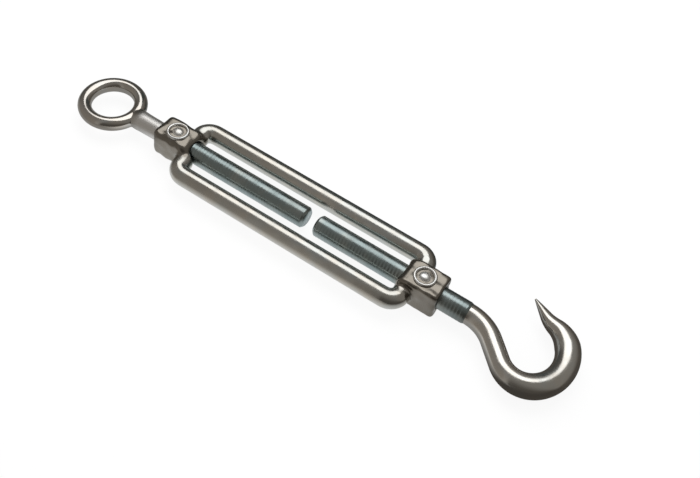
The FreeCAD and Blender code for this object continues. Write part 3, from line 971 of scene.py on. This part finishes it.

# The floor card's tones, in millimetres across the axis: a painted reflection of the floor, seen only by
# glossy surfaces, grey before the part, pale under it and black beyond it.
FLOOR_TONES = (
    (-600, 0.38, WARM_GREY),
    (-60, 0.4, WARM_GREY),
    (-34, 0.5, WARM_GREY),
    (-17, 0.85, WHITE),
    (13, 0.9, PALE_BLUE),
    (18, 0.14, COOL_GREY),
    (26, 0.06, COOL_GREY),
    (600, 0.08, COOL_GREY),
)
# painted shade: under the hook the floor's reflection is near black
HOOK_FLOOR_SHADE_TONES = (
    (-600, 0.08, BROWN),
    (-20, 0.07, BROWN),
    (30, 0.1, BROWN),
    (600, 0.08, BROWN),
)
# painted shade: under the eye the floor's reflection is dimmed
EYE_FLOOR_SHADE_TONES = (
    (-600, 0.24, BROWN),
    (0, 0.22, WARM_GREY),
    (600, 0.05, WHITE),
)
FLOOR_ENDS = ((128, 168, 1, HOOK_FLOOR_SHADE_TONES), (24, 10, 0.75, EYE_FLOOR_SHADE_TONES))
CARD_LIFT = 0.05 * MM


def stand(name, bm, material):
    """A piece of the stage with its material."""
    piece = new_object(name, finished_mesh(bm, name))
    piece.data.materials.append(material)
    return piece


def only_in_gloss(card):
    """Let only glossy surfaces see a card."""
    card.visible_camera = False
    card.visible_diffuse = False
    card.visible_transmission = False
    card.visible_volume_scatter = False
    card.visible_shadow = False


def tent(sizes):
    """A curved card about the thread axis, closed at its ends and seen only in reflections: a painted
    reflection, grey over the near side, black beyond.
    """
    bm = bmesh.new()
    centre = X_AXIS * PART_MIDDLE
    half = sizes.tent_length / 2
    begin, finish = TENT_TONES[0][0] * DEGREE, TENT_TONES[-1][0] * DEGREE
    start = Vector((0, -math.cos(begin), math.sin(begin))) * sizes.tent_radius
    edge = chain(bm, [centre + start - X_AXIS * half, centre + start + X_AXIS * half])
    spin(bm, edge, X_AXIS, TENT_STEPS, centre, turn=begin - finish, merge=False)
    for end in (PART_MIDDLE - half, PART_MIDDLE + half):
        bmesh.ops.contextual_create(bm, geom=[vert for vert in bm.verts if abs(vert.co.x - end) < CARD_LIFT])
    only_in_gloss(stand("tent", bm, card_material("tent", round_the_axis, DEGREE, TENT_TONES, TENT_ENDS)))


def sheet(length_x, length_y, x, z):
    """A level rectangle."""
    bm = bmesh.new()
    place = Matrix.Translation((x, 0, z)) @ Matrix.Diagonal((length_x, length_y, 1, 1))
    bmesh.ops.create_grid(bm, x_segments=1, y_segments=1, size=0.5, matrix=place)
    return bm


def floor_reflection_card(sizes):
    """A card that lies on the floor, seen only in reflections: a painted reflection, grey before the part,
    pale under it and black beyond it, with painted shade under the hook and the eye.
    """
    bm = sheet(sizes.tent_length, sizes.tent_radius * 2, PART_MIDDLE, FLOOR_HEIGHT + CARD_LIFT)
    material = card_material("floor_reflection_card", across_the_floor, MM, FLOOR_TONES, FLOOR_ENDS)
    only_in_gloss(stand("floor_reflection_card", bm, material))


def floor(sizes):
    """The pale floor that the body lies on."""
    stand("floor", sheet(sizes.floor_width, sizes.floor_width, 0, FLOOR_HEIGHT), floor_paper())


def softbox(sizes):
    """One large soft light, above and beyond the part."""
    light = bpy.data.lights.new("softbox", "AREA")
    light.shape = "ELLIPSE"
    light.size, light.size_y = sizes.box_width, sizes.box_height
    face = math.pi / 4 * sizes.box_width * sizes.box_height
    light.energy = sizes.box_radiance * math.pi * face
    aim = X_AXIS * (HOOK_HIGH.x - SOFTBOX_INSET)
    across = Y_AXIS.cross(SOFTBOX_DIRECTION).normalized()
    turned = Matrix((across, SOFTBOX_DIRECTION.cross(across), SOFTBOX_DIRECTION)).transposed().to_4x4()
    lamp = new_object("softbox", light)
    lamp.matrix_world = Matrix.Translation(aim + SOFTBOX_DIRECTION * sizes.box_distance) @ turned
    lamp.visible_camera = False


def world_light():
    """A white studio round the part, and a plain soft level for everything that it lights."""
    world = bpy.data.worlds.new("studio")
    bpy.context.scene.world = world
    nodes = Nodes(world)
    background = nodes.tree.nodes["Background"]
    background.inputs["Color"].default_value = (*WHITE, 1)
    level = nodes.spread(seen_directly(nodes), 0, 1, ROOM_LEVEL, 1)
    nodes.link(level, background.inputs["Strength"])


def camera(sizes):
    """The camera, turned about its own view by the roll."""
    data = bpy.data.cameras.new("camera")
    data.lens = sizes.lens
    data.sensor_width = SENSOR_WIDTH
    data.clip_start = NEAREST_SEEN
    level = math.cos(sizes.elevation)
    towards = Vector((math.sin(sizes.azimuth) * level, -math.cos(sizes.azimuth) * level,
                      math.sin(sizes.elevation)))
    facing = towards.to_track_quat("Z", "Y").to_matrix().to_4x4()
    place = Matrix.Translation(Vector(sizes.target) + towards * sizes.distance)
    view = new_object("camera", data)
    view.matrix_world = place @ facing @ Matrix.Rotation(sizes.roll, 4, "Z")
    bpy.context.scene.camera = view
    bpy.context.scene.view_settings.view_transform = "Standard"


# ---------------------------------------------------------------------------------------------- the operators

class TURNBUCKLE_OT_stage(bpy.types.Operator):
    """Put the camera, the softbox, the cards and the pale floor round the part"""

    bl_idname = "turnbuckle.stage"
    bl_label = "Stage"

    def execute(self, context):
        sizes = context.scene.turnbuckle.stage
        for part in (camera, floor, tent, floor_reflection_card, softbox):
            part(sizes)
        world_light()
        return {"FINISHED"}


def dress(piece, material, body):
    """Give a piece its finish and let it ride on its body."""
    piece.data.materials.clear()
    piece.data.materials.append(material)
    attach(piece, body)
    return piece


class TURNBUCKLE_OT_cast_body(bpy.types.Operator):
    """Make the cast body with its soft edges, its bores and the plain marks on its bosses"""

    bl_idname = "turnbuckle.cast_body"
    bl_label = "Cast body"

    def execute(self, context):
        sizes = context.scene.turnbuckle
        plating = cast_zinc(sizes.finish, sizes.casting)
        piece = dress(cast_body(sizes.casting), plating, "frame_body")
        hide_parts("frame_body")
        half_boss = sizes.casting.boss_length / 2
        bright = mark_zinc(sizes.finish)
        marks = {"eye_boss_mark": BODY_LOW.x + half_boss, "hook_boss_mark": BODY_HIGH.x - half_boss}
        for name, x in marks.items():
            dress(boss_mark(sizes.casting, name, x), bright, "frame_body")
        return {"FINISHED"}


class TURNBUCKLE_OT_eye(bpy.types.Operator):
    """Make the eye forging"""

    bl_idname = "turnbuckle.eye"
    bl_label = "Eye"

    def execute(self, context):
        sizes = context.scene.turnbuckle
        piece = dress(eye_forging(sizes.eye), eye_zinc(sizes.finish, sizes.eye), "eye_bolt")
        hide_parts("eye_ring")
        return {"FINISHED"}


class TURNBUCKLE_OT_hook(bpy.types.Operator):
    """Make the hook forging"""

    bl_idname = "turnbuckle.hook"
    bl_label = "Hook"

    def execute(self, context):
        sizes = context.scene.turnbuckle
        piece = dress(hook_forging(sizes.hook), forged_zinc(sizes.finish), "hook_bolt")
        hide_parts("hook_bolt")
        return {"FINISHED"}


class TURNBUCKLE_OT_threads(bpy.types.Operator):
    """Make both threaded rods"""

    bl_idname = "turnbuckle.threads"
    bl_label = "Threads"

    def execute(self, context):
        sizes = context.scene.turnbuckle
        plating = shaded_thread_zinc(sizes.finish)
        stations = hook_stations(sizes.hook)
        neck = bowl_centre(stations) + stations[0].x
        eye_rod = threaded_rod(sizes.thread, "eye_thread", EYE_ROD_HIGH.x, sizes.eye.thread_start,
                               sizes.eye.shank_radius)
        dress(eye_rod, plating, "eye_bolt")
        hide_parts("eye_rod")
        hook_rod = threaded_rod(sizes.thread, "hook_thread", HOOK_LOW.x, neck, sizes.hook.neck_radius)
        dress(hook_rod, plating, "hook_bolt")
        return {"FINISHED"}


OPERATORS = (
    TURNBUCKLE_OT_stage,
    TURNBUCKLE_OT_cast_body,
    TURNBUCKLE_OT_eye,
    TURNBUCKLE_OT_hook,
    TURNBUCKLE_OT_threads,
)


class TURNBUCKLE_PT_panel(bpy.types.Panel):
    """The turnbuckle's pieces and their sizes"""

    bl_idname = "TURNBUCKLE_PT_panel"
    bl_label = "Turnbuckle"
    bl_space_type = "VIEW_3D"
    bl_region_type = "UI"
    bl_category = "Turnbuckle"

    def draw(self, context):
        for operator in OPERATORS:
            self.layout.operator(operator.bl_idname)
        sizes = context.scene.turnbuckle
        for name, group in GROUPS.items():
            box = self.layout.box()
            box.label(text=group.__doc__)
            for key in group.__annotations__:
                box.prop(getattr(sizes, name), key)


CLASSES = (*GROUPS.values(), TurnbuckleSizes, *OPERATORS, TURNBUCKLE_PT_panel)


def register():
    for item in CLASSES:
        bpy.utils.register_class(item)
    bpy.types.Scene.turnbuckle = PointerProperty(type=TurnbuckleSizes)


def unregister():
    del bpy.types.Scene.turnbuckle
    for item in reversed(CLASSES):
        bpy.utils.unregister_class(item)


def main():
    """Make every piece."""
    register()
    bpy.ops.turnbuckle.stage()
    bpy.ops.turnbuckle.cast_body()
    bpy.ops.turnbuckle.eye()
    bpy.ops.turnbuckle.hook()
    bpy.ops.turnbuckle.threads()
    bpy.context.view_layer.update()


if __name__ == "__main__":
    main()
